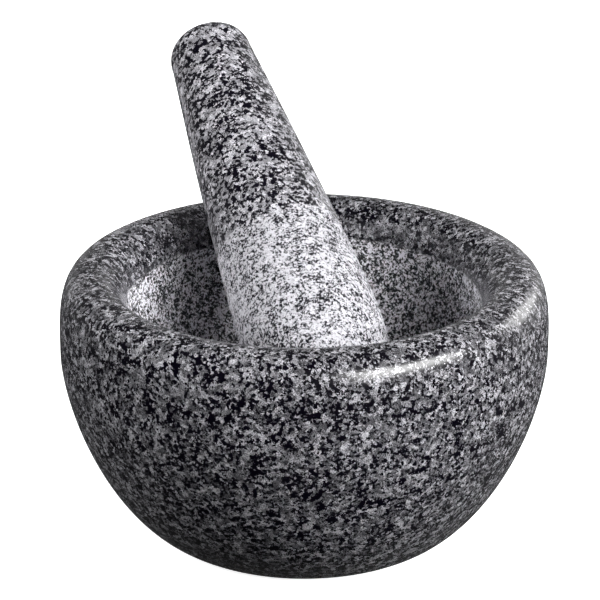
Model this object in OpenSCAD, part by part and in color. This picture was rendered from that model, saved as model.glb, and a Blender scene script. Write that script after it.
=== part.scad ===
// Granite mortar and pestle: a footless stone bowl, polished outside and rough inside, with a
// club-shaped stone pestle that leans in it against the far side of the rim.
// +Z is up. The origin is the centre of the flat underside that the bowl stands on.

/* [Bowl outside] */
// Largest radius of the bowl
bowl_r = 75; // [72:0.5:80]
// Height of the rim's crest above the underside
bowl_h = 83.3; // [82:0.1:84]
// Height at which the bowl is widest
belly_h = 57.5; // [50:0.5:62]
// Radius of the flat underside
base_r = 43; // [36:0.5:50]
// Fullness of the curve from the underside to the belly (2 is an ellipse, 1 a straight cone)
lower_fullness = 1.56; // [1.3:0.02:2.4]
// Fullness of the shoulder from the belly to the crest
shoulder_fullness = 3.6; // [2:0.1:5]

/* [Bowl inside] */
// Radius of the rim's crest
crest_r = 62.7; // [61:0.1:64]
// Radius at which the polished lip ends and the rough grinding hollow begins
hollow_r = 54.4; // [54:0.1:58]
// Height at which the polished lip ends
hollow_h = 73; // [70:0.5:76]
// Fullness of the lip from the crest down to the hollow
lip_fullness = 1.6; // [1.3:0.1:2.4]
// Thickness of stone under the middle of the hollow
floor_t = 18.5; // [12:0.5:18.5]
// Fullness of the hollow (2 is half of an ellipsoid)
hollow_fullness = 2.05; // [2:0.05:2.6]

/* [Pestle] */
// Whole length of the pestle, from grinding tip to handle top
pestle_len = 170; // [150:1:190]
// Radius of the pestle at its thickest, near the grinding tip
club_r = 22; // [16:0.5:22]
// Distance from the tip to the thickest place
club_at = 46; // [34:1:60]
// Fullness of the grinding tip (2 is half of an ellipsoid, more is blunter)
tip_fullness = 2.1; // [2:0.1:2.3]
// Radius of the handle where its rounded top begins
handle_r = 13.7; // [10:0.1:13.7]
// Length of the rounded top
top_len = 10.2; // [8:0.1:14]
// Fullness of the rounded top
top_fullness = 2.6; // [2:0.1:4]
// How the club thins towards the handle (1 is a straight taper, more keeps it thick for longer)
taper_power = 1.25; // [1:0.05:1.25]

/* [Resting place of the pestle] */
// Lean of the pestle away from upright, in degrees
lean = 60; // [59.5:0.1:60.5]
// Direction in which its handle leans, turned from +X towards +Y, in degrees
lean_to = 109; // [0:1:359]
// Distance of the tip from the bowl's axis, on the side away from the handle
tip_out = 45.2; // [44:0.1:45.2]
// Height of the tip above the underside
tip_up = 42.5; // [42.5:0.1:45]

/* [Hidden] */
// Sides of a whole turn, and points along a long and a short quarter curve
turn_sides = 120;
long_curve = 14;
short_curve = 9;
// Height of the hollow's own curve
hollow_deep = hollow_h - floor_t;
// Where the handle's rounded top begins
top_at = pestle_len - top_len;

// A quarter of a superellipse, in unit size: from (1, 0) at step 0 to (0, 1) at the last step
function quarter(i, steps, fullness) =
    let (
        a = 90 * i / steps,
        c = pow(cos(a), fullness),
        s = pow(sin(a), fullness),
        r = pow(c + s, 1 / fullness)
    )
    [cos(a) / r, sin(a) / r];

// The underside's edge up to the belly
function lower_wall() = [
    for (i = [long_curve:-1:0])
        let (q = quarter(i, long_curve, lower_fullness))
            [base_r + (bowl_r - base_r) * q.x, belly_h * (1 - q.y)]
];

// The belly up to the crest of the rim
function shoulder() = [
    for (i = [1:short_curve])
        let (q = quarter(i, short_curve, shoulder_fullness))
            [crest_r + (bowl_r - crest_r) * q.x, belly_h + (bowl_h - belly_h) * q.y]
];

// The crest down the polished lip to the edge of the hollow
function lip() = [
    for (i = [short_curve - 1:-1:0])
        let (q = quarter(i, short_curve, lip_fullness))
            [crest_r - (crest_r - hollow_r) * q.x, hollow_h + (bowl_h - hollow_h) * q.y]
];

// The wall of the hollow down to its middle
function hollow() = [
    for (i = [1:long_curve])
        let (q = quarter(i, long_curve, hollow_fullness))
            [hollow_r * q.x, hollow_h - hollow_deep * q.y]
];

// The pestle's rounded grinding tip, from its end to its thickest place
function grinding_tip() = [
    for (i = [0:long_curve])
        let (q = quarter(i, long_curve, tip_fullness))
            [club_r * q.y, club_at * (1 - q.x)]
];

// The taper from the thickest place to the top of the handle
function taper() = [
    for (i = [1:short_curve])
        let (u = i / short_curve)
            [club_r - (club_r - handle_r) * pow(u, taper_power), club_at + (top_at - club_at) * u]
];

// The rounded top of the handle
function handle_top() = [
    for (i = [1:short_curve])
        let (q = quarter(i, short_curve, top_fullness))
            [handle_r * q.x, top_at + top_len * q.y]
];

// The stone bowl: a thick wall and a heavy floor in one piece, turned about its own axis
module mortar_bowl() {
    color([0.40, 0.40, 0.42])
        rotate_extrude($fn = turn_sides)
            polygon(concat([[0, 0]], lower_wall(), shoulder(), lip(), hollow()));
}

// The stone pestle, turned about its own axis and then laid in the bowl
module pestle() {
    color([0.62, 0.62, 0.62])
        rotate([0, 0, lean_to])
            translate([-tip_out, 0, tip_up])
                rotate([0, lean, 0])
                    rotate_extrude($fn = turn_sides)
                        polygon(concat(grinding_tip(), taper(), handle_top()));
}

mortar_bowl();
pestle();
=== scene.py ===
import math

import bpy
import numpy as np
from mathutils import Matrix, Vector, noise


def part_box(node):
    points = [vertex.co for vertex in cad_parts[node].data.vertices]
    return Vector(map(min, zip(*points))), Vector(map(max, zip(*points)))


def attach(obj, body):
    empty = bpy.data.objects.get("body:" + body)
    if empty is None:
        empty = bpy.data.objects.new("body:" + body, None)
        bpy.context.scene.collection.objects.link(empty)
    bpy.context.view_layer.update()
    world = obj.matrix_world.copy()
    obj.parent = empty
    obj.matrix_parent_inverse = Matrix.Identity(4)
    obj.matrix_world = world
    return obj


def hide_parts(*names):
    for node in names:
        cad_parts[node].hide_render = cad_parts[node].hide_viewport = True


# A polished granite mortar with its pestle. Both stones are turned shapes with superellipse curves,
# cut here as fine closed meshes with a hand-worked surface: polished outside and on the handle,
# granular where the stone was never polished.

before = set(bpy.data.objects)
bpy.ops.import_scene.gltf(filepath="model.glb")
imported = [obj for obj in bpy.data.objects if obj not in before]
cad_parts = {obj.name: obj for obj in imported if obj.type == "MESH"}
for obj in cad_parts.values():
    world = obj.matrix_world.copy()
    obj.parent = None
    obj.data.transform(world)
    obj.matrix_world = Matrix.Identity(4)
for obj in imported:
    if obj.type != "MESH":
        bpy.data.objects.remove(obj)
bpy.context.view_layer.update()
_, bowl_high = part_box("mortar_bowl")

MM = 0.001
UP = np.array([0.0, 0.0, 1.0])

# Outline of the bowl, from its underside to the middle of its hollow
BOWL_R = bowl_high.x
BOWL_H = bowl_high.z
BASE_R = 43 * MM
BELLY_H = 57.5 * MM
CREST_R = 62.7 * MM
HOLLOW_R = 54.4 * MM
HOLLOW_H = 73 * MM
FLOOR_H = 18.5 * MM

# Fullness of its four quarter curves: 2 makes an ellipse, and more is squarer
LOWER, SHOULDER, LIP, HOLLOW = 1.56, 3.6, 1.6, 2.05

# Outline of the pestle, from its tip to the top of its handle
CLUB_R = 22 * MM
CLUB_AT = 46 * MM
HANDLE_R = 13.7 * MM
TOP_LEN = 10.2 * MM

# Fullness of its two quarter curves, the power of its taper, and how far up from its tip it is rough
TIP, TOP, TAPER = 2.1, 2.6, 1.25
PESTLE_ROUGH = 78.7 * MM

# Points that draw a quarter curve, the pestle's taper, and the walk along an outline
QUARTER_POINTS, TAPER_POINTS, WALK_POINTS = 300, 200, 6000

# Mesh spacing on polished and on rough stone, and sides of a whole turn
BOWL_SMOOTH_STEP = 1.9 * MM
BOWL_ROUGH_STEP = 0.63 * MM
BOWL_SIDES = 440
PESTLE_SMOOTH_STEP = 0.8 * MM
PESTLE_ROUGH_STEP = 0.5 * MM
PESTLE_SIDES = 250

# How far the rough stone's mesh spacing runs on into the polished part
BOWL_MARGIN = 2 * MM
PESTLE_MARGIN = 18 * MM

# Hand-worked surface: slow waves everywhere, grains and pits on rough stone
WAVE_SIZE = 38 * MM
WAVE_DEPTH = 0.10 * MM
SKIN_SIZE = 1.7 * MM
PIT_SIZE = 2.6 * MM
PIT_START, PIT_LIMIT, PIT_SHARE = 0.22, 0.5, 5
BOWL_GRAIN = 0.09 * MM
PESTLE_GRAIN = 0.07 * MM
BOWL_SEED, PESTLE_SEED = 0.0, 31.0

# The edge of the polish wanders this far, in bends of this size, and fades over this width
EDGE_WANDER = 0.5 * MM
EDGE_BEND = 7 * MM
EDGE_FADE = 1.2 * MM

# Vertices of the bowl lower than this are ground flat
GROUND_FLAT = 0.25 * MM

# Bell-shaped values turn into grey levels on a colour ramp. The levels are given at a value's 5, 30,
# 42, 60, 80 and 95 percent points, here in standard deviations, of which the ramp spans BELL_REACH on
# each side. The ramp ends at these shares of the first and the last level, no paler than PALEST.
BELL_MARKS = (-1.645, -0.524, -0.202, 0.253, 0.842, 1.645)
BELL_REACH = 2.6
DARK_END, PALE_END, PALEST = 0.5, 1.3, 0.85

# Middle and standard deviation of the value for the polished ground and of the one for rough stone
GROUND_MIDDLE, GROUND_SPREAD = 0.50, 0.21
ROUGH_MIDDLE, ROUGH_SPREAD = 0.414, 0.169

# Granite: sizes as shares of its crystals, and the weights of what tells mica from feldspar
FELDSPAR_SIZE, CHIP_SIZE, CLUMP_SIZE, FINE_SIZE = 1.7, 0.45, 4.2, 0.38
BEND_SIZE, BEND_REACH = 0.7, 1.1
CRYSTAL_WEIGHT, CHIP_WEIGHT, FINE_WEIGHT, CLUMP_WEIGHT = 0.56, 0.18, 0.24, 1.04

# The mica's grey level, and half the width of the step from mica to feldspar
MICA_GREY, MICA_BLUR = 0.001, 0.015

# Feldspar's grey varies from crystal to crystal and in fine mottling around a mean of 0.5
FELDSPAR_WEIGHT, MOTTLE_WEIGHT, MOTTLE_SHIFT = 0.50, 1.30, -0.40

# Bruised stone: the weights of its specks, of the mineral below and of its dust, and the dust's size
# as a share of the specks
SPECK_WEIGHT, MINERAL_WEIGHT, DUST_WEIGHT, DUST_SIZE = 0.42, 0.55, 0.66, 0.58

# The ragged edge between polished and rough stone, in millimetres
RAGGED_SIZE, RAGGED_REACH = 1.4, 1.6
ROUGH_FROM, ROUGH_FULL = -0.35, 0.75

# Roughness of unpolished stone, and how much the polish varies in smears and between crystals
MATT = 0.88
SMEAR_SIZE, SMEAR_WEIGHT, CRYSTAL_DULL = 9.0, 0.10, -0.05

# Bump heights in millimetres: crystals under the polish, the tooth of rough stone, a slight ripple
CRYSTAL_HEIGHT = 0.004
TOOTH_SIZE, TOOTH_HEIGHT = 0.44, 0.26
RIPPLE_SIZE, RIPPLE_HEIGHT = 3.2, 0.006


# ---------------------------------------------------------------- outlines

def quarter(fullness):
    """A quarter of a unit superellipse, from (1, 0) to (0, 1)."""
    angle = np.linspace(0.0, math.pi / 2, QUARTER_POINTS)
    c, s = np.cos(angle), np.sin(angle)
    size = (c ** fullness + s ** fullness) ** (1 / fullness)
    return c / size, s / size


def spaced(outline, step_at):
    """Resamples an outline. step_at gives the spacing wanted at a length; returns points and lengths."""
    gaps = np.linalg.norm(np.diff(outline, axis=0), axis=1)
    length = np.concatenate([[0.0], np.cumsum(gaps)])
    walk = np.linspace(0.0, length[-1], WALK_POINTS)
    count = np.concatenate([[0.0], np.cumsum(np.diff(walk) / step_at(walk[:-1]))])
    at = np.interp(np.linspace(0.0, count[-1], int(count[-1]) + 1), count, walk)
    return np.stack([np.interp(at, length, outline[:, k]) for k in (0, 1)], 1), at


def bowl_outline():
    """The bowl's (radius, height) points, and the length at which its polish ends."""
    x, y = quarter(LOWER)
    lower = np.stack([BASE_R + (BOWL_R - BASE_R) * x, BELLY_H * (1 - y)], 1)[::-1]
    x, y = quarter(SHOULDER)
    shoulder = np.stack([CREST_R + (BOWL_R - CREST_R) * x, BELLY_H + (BOWL_H - BELLY_H) * y], 1)
    x, y = quarter(LIP)
    lip = np.stack([CREST_R - (CREST_R - HOLLOW_R) * x, HOLLOW_H + (BOWL_H - HOLLOW_H) * y], 1)[::-1]
    x, y = quarter(HOLLOW)
    hollow = np.stack([HOLLOW_R * x, HOLLOW_H - (HOLLOW_H - FLOOR_H) * y], 1)
    outside = np.vstack([[[0.0, 0.0]], lower, shoulder[1:], lip[1:]])
    edge = np.linalg.norm(np.diff(outside, axis=0), axis=1).sum()
    return np.vstack([outside, hollow[1:]]), edge


def pestle_outline(whole):
    """The pestle's (radius, distance from the tip) points."""
    top_at = whole - TOP_LEN
    x, y = quarter(TIP)
    tip = np.stack([CLUB_R * y, CLUB_AT * (1 - x)], 1)
    u = np.linspace(0.0, 1.0, TAPER_POINTS)[1:]
    taper = np.stack([CLUB_R - (CLUB_R - HANDLE_R) * u ** TAPER, CLUB_AT + (top_at - CLUB_AT) * u], 1)
    x, y = quarter(TOP)
    top = np.stack([HANDLE_R * x, top_at + TOP_LEN * y], 1)
    return np.vstack([tip, taper, top[1:]])


# ---------------------------------------------------------------- turned meshes

def field(points, size, octaves, shift):
    """Fractal noise about 0 at each point, with features of the given size."""
    place = Vector(shift)
    decay, step = 0.8, 2.1
    return np.array([noise.fractal(Vector(p) / size + place, decay, step, octaves) for p in points])


def swept(curve, origin, axis, side, sides):
    """Turns the inner points of a curve around an axis, and returns points and outward normals."""
    angle = np.linspace(0.0, math.tau, sides, endpoint=False)
    rim = np.outer(np.cos(angle), side) + np.outer(np.sin(angle), np.cross(axis, side))
    along = np.gradient(curve, axis=0)
    along /= np.linalg.norm(along, axis=1)[:, None]
    body, run = curve[1:-1], along[1:-1]
    points = origin + body[:, 0, None, None] * rim + body[:, 1, None, None] * axis
    normal = run[:, 1, None, None] * rim - run[:, 0, None, None] * axis
    return points.reshape(-1, 3), normal.reshape(-1, 3)


def worked_lift(points, past, grain_depth, seed):
    """How far hand work moves each point along its normal."""
    rough = np.clip(past / EDGE_FADE, 0.0, 1.0)
    wave = WAVE_DEPTH * field(points, WAVE_SIZE, 1, (seed, 5.3, 0.2))
    skin = field(points, SKIN_SIZE, 3, (seed, 8.8, 2.6))
    pits = np.clip(field(points, PIT_SIZE, 2, (seed, 3.1, 9.4)) - PIT_START, 0.0, PIT_LIMIT)
    return wave + grain_depth * rough * (skin - PIT_SHARE * pits)


def turned_faces(rings, sides):
    """Quads between neighbouring rings, and a fan to the point at each end."""
    here = np.arange(sides)
    after = (here + 1) % sides
    ring = (np.arange(rings - 1) * sides)[:, None]
    quads = np.stack([ring + here, ring + after, ring + sides + after, ring + sides + here], -1)
    last = (rings - 1) * sides
    start, finish = rings * sides, rings * sides + 1
    pairs = list(zip(here.tolist(), after.tolist()))
    faces = quads.reshape(-1, 4).tolist()
    faces += [[start, b, a] for a, b in pairs]
    faces += [[last + a, last + b, finish] for a, b in pairs]
    return faces


def turned(name, curve, past, origin, axis, side, sides, grain_depth, seed):
    """A closed turned mesh. past is the distance beyond the edge of the polish, positive where rough."""
    points, normal = swept(curve, origin, axis, side, sides)
    past = np.repeat(past, sides)[sides:-sides]
    past = past + EDGE_WANDER * field(points, EDGE_BEND, 2, (seed, 1.7, 4.1))
    points = points + normal * worked_lift(points, past, grain_depth, seed)[:, None]
    ends = origin + np.outer(curve[[0, -1], 1], axis)

    mesh = bpy.data.meshes.new(name)
    mesh.from_pydata(np.vstack([points, ends]).tolist(), [], turned_faces(len(curve) - 2, sides))
    mesh.polygons.foreach_set("use_smooth", [True] * len(mesh.polygons))
    mask = mesh.attributes.new("past_polish", "FLOAT", "POINT")
    mask.data.foreach_set("value", np.concatenate([past, past[[0, -1]]]) / MM)
    mesh.update()
    piece = bpy.data.objects.new(name, mesh)
    bpy.context.scene.collection.objects.link(piece)
    return piece


def level_underside(bowl):
    """Grinds the underside flat, so that the bowl stands where its CAD node stands."""
    for vertex in bowl.data.vertices:
        if vertex.co.z < GROUND_FLAT:
            vertex.co.z = max(vertex.co.z, 0.0) if vertex.co.xy.length > BASE_R else 0.0


def make_bowl():
    """The bowl: rough in its hollow and under its foot, polished everywhere else."""
    outline, edge = bowl_outline()
    curve, at = spaced(outline, lambda s: np.where(s > edge - BOWL_MARGIN, BOWL_ROUGH_STEP, BOWL_SMOOTH_STEP))
    past = np.maximum(at - edge, BASE_R - at)
    side = np.array([1.0, 0.0, 0.0])
    bowl = turned("granite_bowl", curve, past, np.zeros(3), UP, side, BOWL_SIDES, BOWL_GRAIN, BOWL_SEED)
    level_underside(bowl)
    return bowl


def pestle_line():
    """The ends of the pestle's axis: the two points of its CAD node that lie farthest apart."""
    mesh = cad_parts["pestle"].data
    points = np.empty(len(mesh.vertices) * 3)
    mesh.vertices.foreach_get("co", points)
    points = points.reshape(-1, 3)
    high = points[np.argmax(points[:, 2])]
    tip = points[np.argmax(np.linalg.norm(points - high, axis=1))]
    top = points[np.argmax(np.linalg.norm(points - tip, axis=1))]
    return tip, top


def make_pestle():
    """The pestle: rough at its working end, polished on its handle."""
    tip, top = pestle_line()
    whole = np.linalg.norm(top - tip)
    axis = (top - tip) / whole
    side = np.cross(axis, UP)
    side /= np.linalg.norm(side)
    fine_end = PESTLE_ROUGH + PESTLE_MARGIN
    curve, _ = spaced(pestle_outline(whole),
                      lambda s: np.where(s < fine_end, PESTLE_ROUGH_STEP, PESTLE_SMOOTH_STEP))
    past = PESTLE_ROUGH - curve[:, 1]
    return turned("granite_pestle", curve, past, tip, axis, side,
                  PESTLE_SIDES, PESTLE_GRAIN, PESTLE_SEED)


# ---------------------------------------------------------------- stone

class Nodes:
    """A short way to write a node tree: each call adds a node and returns one of its outputs."""

    def __init__(self, tree):
        self.tree = tree

    def add(self, kind, out=0, settings=(), **inputs):
        """Inputs are named, with _ for a space, or numbered as i0, i1 and so on."""
        node = self.tree.nodes.new(kind)
        for key, value in dict(settings).items():
            setattr(node, key, value)
        for key, value in inputs.items():
            socket = node.inputs[int(key[1:])] if key[1:].isdigit() else node.inputs[key.replace("_", " ")]
            if isinstance(value, bpy.types.NodeSocket):
                self.tree.links.new(value, socket)
            else:
                socket.default_value = value
        return node.outputs[out]

    def math(self, operation, a, b=0.0, c=0.0):
        return self.add("ShaderNodeMath", settings={"operation": operation}, i0=a, i1=b, i2=c)

    def centred(self, value, weight):
        """A value of 0 to 1, made to swing by the given weight around 0."""
        return self.math("MULTIPLY_ADD", value, weight, -0.5 * weight)

    def vector(self, operation, a, b):
        return self.add("ShaderNodeVectorMath", settings={"operation": operation}, i0=a, i1=b)

    def ramp(self, value, low, high, to_low=0.0, to_high=1.0):
        return self.add("ShaderNodeMapRange", settings={"interpolation_type": "SMOOTHSTEP"},
                        Value=value, From_Min=low, From_Max=high, To_Min=to_low, To_Max=to_high)

    def mix(self, factor, a, b):
        """Mixes two colours."""
        return self.add("ShaderNodeMix", out=2, settings={"data_type": "RGBA"}, i0=factor, i6=a, i7=b)

    def blend(self, factor, a, b):
        """Mixes two numbers."""
        return self.add("ShaderNodeMix", settings={"data_type": "FLOAT"}, i0=factor, i2=a, i3=b)

    def noise(self, place, size, detail, out=0):
        return self.add("ShaderNodeTexNoise", out=out, Vector=place, Scale=1 / size, Detail=detail)

    def cells(self, place, size):
        """A random number for each crystal of about the given size."""
        colour = self.add("ShaderNodeTexVoronoi", out=1, Vector=place, Scale=1 / size)
        return self.add("ShaderNodeSeparateColor", Color=colour)


def stone_tint(level):
    """A grey with the slight violet of the stone, strongest in the black grains."""
    return level + 0.0005, level * 0.990, level * 1.05 + 0.0025


def shades(n, value, middle, spread, levels):
    """Maps a bell-shaped value to grey levels given at the marks of BELL_MARKS."""
    slope = 0.5 / (BELL_REACH * spread)
    place = n.math("MULTIPLY_ADD", value, slope, 0.5 - middle * slope)
    ramp = n.tree.nodes.new("ShaderNodeValToRGB")
    n.tree.links.new(place, ramp.inputs[0])
    stops = ramp.color_ramp.elements
    stops[0].position, stops[1].position = 0.0, 1.0
    stops[0].color = (*stone_tint(DARK_END * levels[0]), 1.0)
    stops[1].color = (*stone_tint(min(PALEST, PALE_END * levels[-1])), 1.0)
    for mark, level in zip(BELL_MARKS, levels):
        stop = stops.new(0.5 + 0.5 * mark / BELL_REACH)
        stop.color = (*stone_tint(level), 1.0)
    return ramp.outputs[0]


def bent_place(n, place, crystal_size):
    """Bends the stone's coordinates a little, so that its crystals get ragged sides."""
    wobble = n.vector("SUBTRACT", n.noise(place, BEND_SIZE * crystal_size, 2.0, out=1), (0.5, 0.5, 0.5))
    return n.vector("ADD", place, n.vector("MULTIPLY", wobble, (BEND_REACH * crystal_size,) * 3))


def mineral_value(n, place, bent, crystal, fine, crystal_size):
    """High in feldspar and low in mica, which gathers in ragged clumps of angular flakes with a few
    loose specks."""
    chip = n.cells(bent, CHIP_SIZE * crystal_size)
    clump = n.noise(place, CLUMP_SIZE * crystal_size, 2.5)
    value = n.math("MULTIPLY_ADD", crystal, CRYSTAL_WEIGHT, n.math("MULTIPLY", chip, CHIP_WEIGHT))
    value = n.math("ADD", value, n.centred(fine, FINE_WEIGHT))
    return n.math("ADD", value, n.centred(clump, CLUMP_WEIGHT))


def polished_colour(n, bent, fine, mineral, crystal_size, mica_edge, levels):
    """Pale feldspar with a few dull grey crystals of quartz, and black mica below the mica edge."""
    feldspar = n.cells(bent, FELDSPAR_SIZE * crystal_size)
    mottle = n.math("MULTIPLY_ADD", fine, MOTTLE_WEIGHT, MOTTLE_SHIFT)
    ground = n.math("MULTIPLY_ADD", feldspar, FELDSPAR_WEIGHT, mottle)
    ground = shades(n, ground, GROUND_MIDDLE, GROUND_SPREAD, levels)
    pale = n.add("ShaderNodeMapRange", Value=mineral,
                 From_Min=mica_edge - MICA_BLUR, From_Max=mica_edge + MICA_BLUR)
    return n.mix(pale, (*stone_tint(MICA_GREY), 1.0), ground)


def rough_colour(n, place, mineral, speck_size, levels):
    """Unpolished stone is bruised, so its specks are finer and paler."""
    speck = n.cells(place, speck_size)
    dust = n.noise(place, DUST_SIZE * speck_size, 1.0)
    bruise = n.math("MULTIPLY_ADD", speck, SPECK_WEIGHT, n.math("MULTIPLY", mineral, MINERAL_WEIGHT))
    bruise = n.math("ADD", bruise, n.centred(dust, DUST_WEIGHT))
    return shades(n, bruise, ROUGH_MIDDLE, ROUGH_SPREAD, levels)


def stone_roughness(n, place, crystal, rough, polish):
    """The polish differs a little from crystal to crystal and in broad smears; rough stone is matt."""
    smear = n.noise(place, SMEAR_SIZE, 3.0)
    polish = n.math("MULTIPLY_ADD", crystal, CRYSTAL_DULL, polish)
    return n.blend(rough, n.math("ADD", polish, n.centred(smear, SMEAR_WEIGHT)), MATT)


def stone_bump(n, place, crystal, rough):
    """Crystals stand out very slightly under the polish; rough stone has a tooth."""
    crystals = n.math("MULTIPLY", crystal, CRYSTAL_HEIGHT)
    tooth = n.math("MULTIPLY", n.noise(place, TOOTH_SIZE, 2.0), TOOTH_HEIGHT)
    ripple = n.math("MULTIPLY", n.noise(place, RIPPLE_SIZE, 1.0), RIPPLE_HEIGHT)
    height = n.math("ADD", n.blend(rough, crystals, tooth), ripple)
    return n.add("ShaderNodeBump", Strength=1.0, Distance=MM, Height=height)


def granite(name, crystal_size, mica_edge, ground_levels, speck_size, rough_levels, polish, specular):
    """Black-and-white granite. Sizes are in millimetres of stone, polish is the roughness of its polish."""
    material = bpy.data.materials.new(name)
    material.use_nodes = True
    tree = material.node_tree
    tree.nodes.clear()
    n = Nodes(tree)

    place = n.vector("MULTIPLY", n.add("ShaderNodeTexCoord", out=3), (1 / MM,) * 3)
    bent = bent_place(n, place, crystal_size)
    crystal = n.cells(bent, crystal_size)
    fine = n.noise(place, FINE_SIZE * crystal_size, 1.0)
    mineral = mineral_value(n, place, bent, crystal, fine, crystal_size)

    past = n.add("ShaderNodeAttribute", out=2, settings={"attribute_name": "past_polish"})
    ragged = n.math("ADD", past, n.centred(n.noise(place, RAGGED_SIZE, 2.0), RAGGED_REACH))
    rough = n.ramp(ragged, ROUGH_FROM, ROUGH_FULL)

    polished = polished_colour(n, bent, fine, mineral, crystal_size, mica_edge, ground_levels)
    unpolished = rough_colour(n, place, mineral, speck_size, rough_levels)

    shader = tree.nodes.new("ShaderNodeBsdfPrincipled")
    shader.inputs["IOR"].default_value = 1.5
    shader.inputs["Specular IOR Level"].default_value = specular
    tree.links.new(n.mix(rough, polished, unpolished), shader.inputs["Base Color"])
    tree.links.new(stone_roughness(n, place, crystal, rough, polish), shader.inputs["Roughness"])
    tree.links.new(stone_bump(n, place, crystal, rough), shader.inputs["Normal"])
    output = tree.nodes.new("ShaderNodeOutputMaterial")
    tree.links.new(shader.outputs[0], output.inputs[0])
    return material


# ---------------------------------------------------------------- the two stones

bowl = make_bowl()
bowl.data.materials.append(granite(
    "bowl_granite", crystal_size=0.84, mica_edge=0.342,
    ground_levels=(0.04, 0.08, 0.115, 0.18, 0.29, 0.52),
    speck_size=0.60, rough_levels=(0.0, 0.0, 0.06, 0.56, 0.90, 0.96),
    polish=0.26, specular=1.0))
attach(bowl, "bowl")
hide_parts("mortar_bowl")

pestle = make_pestle()
pestle.data.materials.append(granite(
    "pestle_granite", crystal_size=0.90, mica_edge=0.378,
    ground_levels=(0.14, 0.22, 0.27, 0.34, 0.44, 0.70),
    speck_size=0.54, rough_levels=(0.0, 0.05, 0.32, 0.48, 0.53, 0.56),
    polish=0.36, specular=0.16))
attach(pestle, "pestle")
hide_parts("pestle")


# ---------------------------------------------------------------- floor, light and camera

# The floor's radius, the radius of the bend behind it, and the height of the wall above that
FLOOR_REACH, WALL_BEND, WALL_TOP = 4.5, 1.5, 6.0
FLOOR_SIDES = 96
WALL_STEPS = 12
PAPER_GREY, PAPER_ROUGHNESS, PAPER_GLOW = 0.86, 0.9, 0.84

# The lights face the middle of the bowl, at this share of its height
LIT_HEIGHT = 0.6

# Camera: height angle, distance in bowl radii, the point that it looks at, and its lens in millimetres
CAMERA_ELEVATION = 22.09
CAMERA_DISTANCE = 10
CAMERA_AIM = (-1.29 * MM, 0.0, 72.6 * MM)
CAMERA_LENS = 146.82


def floor_paper():
    """Pale paper that glows faintly, so that it stays even and almost white."""
    material = bpy.data.materials.new("floor_paper")
    material.use_nodes = True
    shader = material.node_tree.nodes["Principled BSDF"]
    shader.inputs["Base Color"].default_value = (PAPER_GREY, PAPER_GREY, PAPER_GREY, 1.0)
    shader.inputs["Roughness"].default_value = PAPER_ROUGHNESS
    shader.inputs["Emission Color"].default_value = (1.0, 1.0, 1.0, 1.0)
    shader.inputs["Emission Strength"].default_value = PAPER_GLOW
    return material


def sheet(name, outline, closed, material):
    """Turns an outline of (radius, height) points, listed outward, into one sheet around the Z axis.
    A closed sheet also has a face across its smallest ring."""
    verts = []
    for radius, height in outline:
        for k in range(FLOOR_SIDES):
            angle = 2 * math.pi * k / FLOOR_SIDES
            verts.append((radius * math.cos(angle), radius * math.sin(angle), height))
    faces = []
    for ring in range(len(outline) - 1):
        for k in range(FLOOR_SIDES):
            a = ring * FLOOR_SIDES + k
            b = ring * FLOOR_SIDES + (k + 1) % FLOOR_SIDES
            faces.append((a, a + FLOOR_SIDES, b + FLOOR_SIDES, b))
    if closed:
        faces.append(tuple(range(FLOOR_SIDES)))
    mesh = bpy.data.meshes.new(name)
    mesh.from_pydata(verts, [], faces)
    for face in mesh.polygons:
        face.use_smooth = True
    mesh.materials.append(material)
    thing = bpy.data.objects.new(name, mesh)
    bpy.context.scene.collection.objects.link(thing)
    thing.visible_diffuse = False
    thing.visible_glossy = False
    return thing


def make_floor():
    """A plain pale floor that sweeps up into a wall far away on every side.
    Both are left out of bounced and mirrored light, so that the stone's underside stays dark."""
    paper = floor_paper()
    sheet("floor", [(0.05, 0.0), (0.5, 0.0), (FLOOR_REACH, 0.0)], True, paper)
    curve = []
    for step in range(WALL_STEPS + 1):
        angle = math.pi / 2 * step / WALL_STEPS
        curve.append((FLOOR_REACH + WALL_BEND * math.sin(angle), WALL_BEND * (1 - math.cos(angle))))
    curve.append((FLOOR_REACH + WALL_BEND, WALL_TOP))
    sweep = sheet("sweep", curve, False, paper)
    sweep.visible_shadow = False


def soft_light(name, azimuth, elevation, distance, size, power, diffuse=True, mirrored=True):
    """A rectangular soft light that faces the bowl. Azimuth 0 is the camera's side, 90 is +X.
    diffuse and mirrored say whether the stone scatters its light and whether it mirrors the light itself."""
    data = bpy.data.lights.new(name, "AREA")
    data.shape = "RECTANGLE"
    data.size, data.size_y = size
    data.energy = power
    light = bpy.data.objects.new(name, data)
    a, e = math.radians(azimuth), math.radians(elevation)
    back = Vector((math.sin(a) * math.cos(e), -math.cos(a) * math.cos(e), math.sin(e)))
    target = Vector((0.0, 0.0, LIT_HEIGHT * BOWL_H))
    light.location = target + back * distance
    light.rotation_mode = "QUATERNION"
    light.rotation_quaternion = back.to_track_quat("Z", "Y")
    light.visible_diffuse = diffuse
    light.visible_glossy = mirrored
    bpy.context.scene.collection.objects.link(light)


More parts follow.
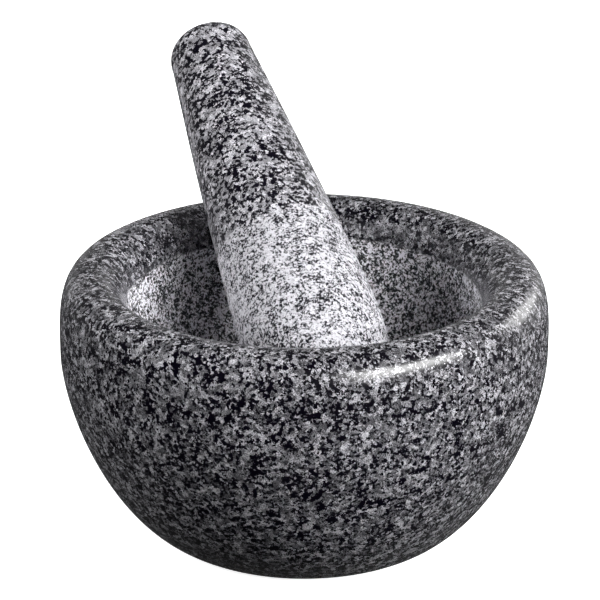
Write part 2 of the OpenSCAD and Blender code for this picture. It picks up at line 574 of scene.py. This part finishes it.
def make_world(horizon, high, low):
    """The light of a studio wall behind the bowl, brightest at the right, with none behind the camera.
    horizon, high and low are its levels at the horizon, well above it and below it."""
    world = bpy.data.worlds.new("studio")
    world.use_nodes = True
    tree = world.node_tree
    tree.nodes.clear()
    n = Nodes(tree)
    direction = n.add("ShaderNodeTexCoord", out=0)
    across = n.add("ShaderNodeSeparateXYZ", out=0, Vector=direction)
    inward = n.add("ShaderNodeSeparateXYZ", out=1, Vector=direction)
    height = n.add("ShaderNodeSeparateXYZ", out=2, Vector=direction)
    upward = n.blend(n.ramp(height, 0.10, 0.55), horizon, high)
    level = n.blend(n.ramp(height, -0.30, -0.10), low, upward)
    level = n.math("MULTIPLY", n.ramp(inward, -0.1, 0.5), level)
    level = n.math("MULTIPLY", level, n.ramp(across, -0.7, 0.6, 0.3, 1.0))
    background = tree.nodes.new("ShaderNodeBackground")
    tree.links.new(level, background.inputs[0])
    output = tree.nodes.new("ShaderNodeOutputWorld")
    tree.links.new(background.outputs[0], output.inputs[0])
    bpy.context.scene.world = world


def make_camera():
    """Looks down at the bowl from the front, aimed at the level of its hollow's edge."""
    elevation = math.radians(CAMERA_ELEVATION)
    back = Vector((0.0, -math.cos(elevation), math.sin(elevation)))
    data = bpy.data.cameras.new("camera")
    data.sensor_width = 36.0
    data.lens = CAMERA_LENS
    data.clip_start = 0.01
    camera = bpy.data.objects.new("camera", data)
    camera.location = Vector(CAMERA_AIM) + back * (CAMERA_DISTANCE * BOWL_R)
    camera.rotation_mode = "QUATERNION"
    camera.rotation_quaternion = back.to_track_quat("Z", "Y")
    bpy.context.scene.collection.objects.link(camera)
    bpy.context.scene.camera = camera


make_floor()
make_world(horizon=0.46, high=0.08, low=0.07)

# The key lights the stone, and the glint is what its polish mirrors of it: a streak on the near rim
soft_light("key", 48, 27, 1.1, (0.92, 0.46), 20.6, mirrored=False)
soft_light("glint", 48.5, 28.5, 1.1, (0.96, 0.36), 10.5, diffuse=False)
soft_light("upper", 58, 44, 1.1, (0.40, 0.40), 5.6, mirrored=False)
soft_light("fill", -86, 27, 1.6, (1.20, 1.00), 26.0, mirrored=False)
soft_light("back", 128, 20, 1.2, (0.60, 0.50), 3.5)
soft_light("behind", 205, 12, 1.4, (0.90, 0.60), 9.0, mirrored=False)
make_camera()
bpy.context.scene.view_settings.view_transform = "Standard"
